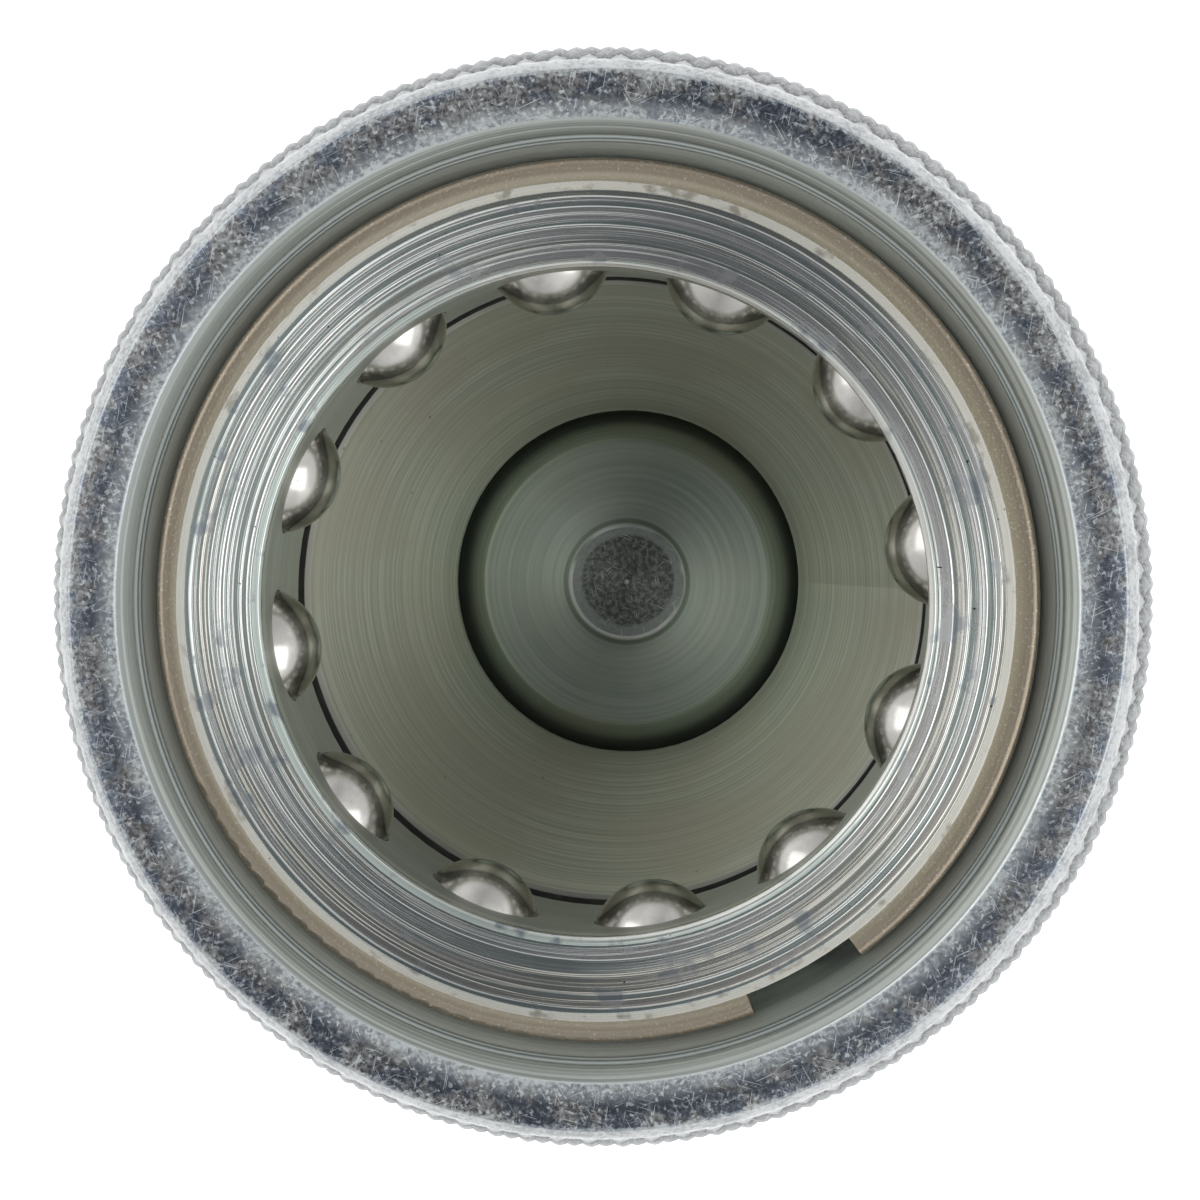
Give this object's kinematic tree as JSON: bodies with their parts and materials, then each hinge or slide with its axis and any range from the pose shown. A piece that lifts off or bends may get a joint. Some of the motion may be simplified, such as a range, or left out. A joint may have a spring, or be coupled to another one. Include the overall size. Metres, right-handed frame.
{
  "type": "quick disconnect coupler",
  "caption": "Ball-lock quick disconnect coupler half: knurled sprung sleeve, ring of locking balls round a bore with a poppet valve, hexagonal rear port with female thread.",
  "frame": {"origin": "centre of the flat rear face, which the part stands on", "axes": "+Z along the bore axis, out of the plug mouth; +X and +Y across it; a locking ball lies 8.7 degrees from +X towards +Y"},
  "size_m": [0.0532, 0.0532, 0.092],
  "materials": {
    "zinc_plated_body": "turned, zinc plated, clear passivate with a green tint",
    "zinc_plated_adapter": "machined, zinc plated, clear passivate",
    "zinc_plated_sleeve": "knurled and zinc plated, scratched on the front face",
    "phosphated_ring": "matte tan phosphate on spring steel",
    "spring_steel": "drawn spring wire",
    "chrome_steel_ball": "polished",
    "black_rubber": "satin, oiled",
    "white_ptfe": "waxy matte",
    "zinc_plated_valve": "turned, zinc plated, green passivate"
  },
  "bodies": {
    "coupler_body": {"socket_body": "zinc_plated_body", "adapter": "zinc_plated_adapter", "sleeve_retaining_ring": "phosphated_ring", "plug_seal": "black_rubber", "joint_seal": "black_rubber", "joint_backup_ring": "white_ptfe", "valve_guide": "zinc_plated_valve"},
    "sleeve_follower": {"sleeve_spring": "spring_steel"},
    "outer_sleeve": {"sleeve": "zinc_plated_sleeve"},
    "valve": {"valve_head": "zinc_plated_valve", "valve_seal": "black_rubber", "seal_washer": "zinc_plated_valve", "valve_stem": "zinc_plated_valve", "valve_spring": "spring_steel"},
    "lock_ball_01": {"ball_01": "chrome_steel_ball"},
    "lock_ball_02": {"ball_02": "chrome_steel_ball"},
    "lock_ball_03": {"ball_03": "chrome_steel_ball"},
    "lock_ball_04": {"ball_04": "chrome_steel_ball"},
    "lock_ball_05": {"ball_05": "chrome_steel_ball"},
    "lock_ball_06": {"ball_06": "chrome_steel_ball"},
    "lock_ball_07": {"ball_07": "chrome_steel_ball"},
    "lock_ball_08": {"ball_08": "chrome_steel_ball"},
    "lock_ball_09": {"ball_09": "chrome_steel_ball"},
    "lock_ball_10": {"ball_10": "chrome_steel_ball"},
    "lock_ball_11": {"ball_11": "chrome_steel_ball"},
    "lock_ball_12": {"ball_12": "chrome_steel_ball"}
  },
  "joints": [
    {"name": "sleeve_slide", "type": "slide", "parent": "coupler_body", "child": "sleeve_follower", "axis": [0, 0, -1], "range_m": [0, 0.0056], "stiffness_N_per_m": 6000, "springref_m": -0.01, "deforming": ["sleeve_spring"]},
    {"name": "sleeve_turn", "type": "hinge", "parent": "sleeve_follower", "child": "outer_sleeve", "pos_m": [0, 0, 0.0738], "axis": [0, 0, 1], "continuous": true},
    {"name": "valve_slide", "type": "slide", "parent": "coupler_body", "child": "valve", "axis": [0, 0, -1], "range_m": [0, 0.0065], "stiffness_N_per_m": 2500, "springref_m": -0.006, "deforming": ["valve_spring"]},
    {"name": "ball_01_slide", "type": "slide", "parent": "coupler_body", "child": "lock_ball_01", "axis": [0.9885, 0.1513, 0], "range_m": [0, 0.00191]},
    {"name": "ball_02_slide", "type": "slide", "parent": "coupler_body", "child": "lock_ball_02", "axis": [0.7804, 0.6252, 0], "range_m": [0, 0.00191]},
    {"name": "ball_03_slide", "type": "slide", "parent": "coupler_body", "child": "lock_ball_03", "axis": [0.3633, 0.9317, 0], "range_m": [0, 0.00191]},
    {"name": "ball_04_slide", "type": "slide", "parent": "coupler_body", "child": "lock_ball_04", "axis": [-0.1513, 0.9885, 0], "range_m": [0, 0.00191]},
    {"name": "ball_05_slide", "type": "slide", "parent": "coupler_body", "child": "lock_ball_05", "axis": [-0.6252, 0.7804, 0], "range_m": [0, 0.00191]},
    {"name": "ball_06_slide", "type": "slide", "parent": "coupler_body", "child": "lock_ball_06", "axis": [-0.9317, 0.3633, 0], "range_m": [0, 0.00191]},
    {"name": "ball_07_slide", "type": "slide", "parent": "coupler_body", "child": "lock_ball_07", "axis": [-0.9885, -0.1513, 0], "range_m": [0, 0.00191]},
    {"name": "ball_08_slide", "type": "slide", "parent": "coupler_body", "child": "lock_ball_08", "axis": [-0.7804, -0.6252, 0], "range_m": [0, 0.00191]},
    {"name": "ball_09_slide", "type": "slide", "parent": "coupler_body", "child": "lock_ball_09", "axis": [-0.3633, -0.9317, 0], "range_m": [0, 0.00191]},
    {"name": "ball_10_slide", "type": "slide", "parent": "coupler_body", "child": "lock_ball_10", "axis": [0.1513, -0.9885, 0], "range_m": [0, 0.00191]},
    {"name": "ball_11_slide", "type": "slide", "parent": "coupler_body", "child": "lock_ball_11", "axis": [0.6252, -0.7804, 0], "range_m": [0, 0.00191]},
    {"name": "ball_12_slide", "type": "slide", "parent": "coupler_body", "child": "lock_ball_12", "axis": [0.9317, -0.3633, 0], "range_m": [0, 0.00191]}
  ],
  "couplings": [
    {"joint": "ball_01_slide", "follows": "sleeve_slide", "ratio": 0.34},
    {"joint": "ball_02_slide", "follows": "sleeve_slide", "ratio": 0.34},
    {"joint": "ball_03_slide", "follows": "sleeve_slide", "ratio": 0.34},
    {"joint": "ball_04_slide", "follows": "sleeve_slide", "ratio": 0.34},
    {"joint": "ball_05_slide", "follows": "sleeve_slide", "ratio": 0.34},
    {"joint": "ball_06_slide", "follows": "sleeve_slide", "ratio": 0.34},
    {"joint": "ball_07_slide", "follows": "sleeve_slide", "ratio": 0.34},
    {"joint": "ball_08_slide", "follows": "sleeve_slide", "ratio": 0.34},
    {"joint": "ball_09_slide", "follows": "sleeve_slide", "ratio": 0.34},
    {"joint": "ball_10_slide", "follows": "sleeve_slide", "ratio": 0.34},
    {"joint": "ball_11_slide", "follows": "sleeve_slide", "ratio": 0.34},
    {"joint": "ball_12_slide", "follows": "sleeve_slide", "ratio": 0.34}
  ]
}
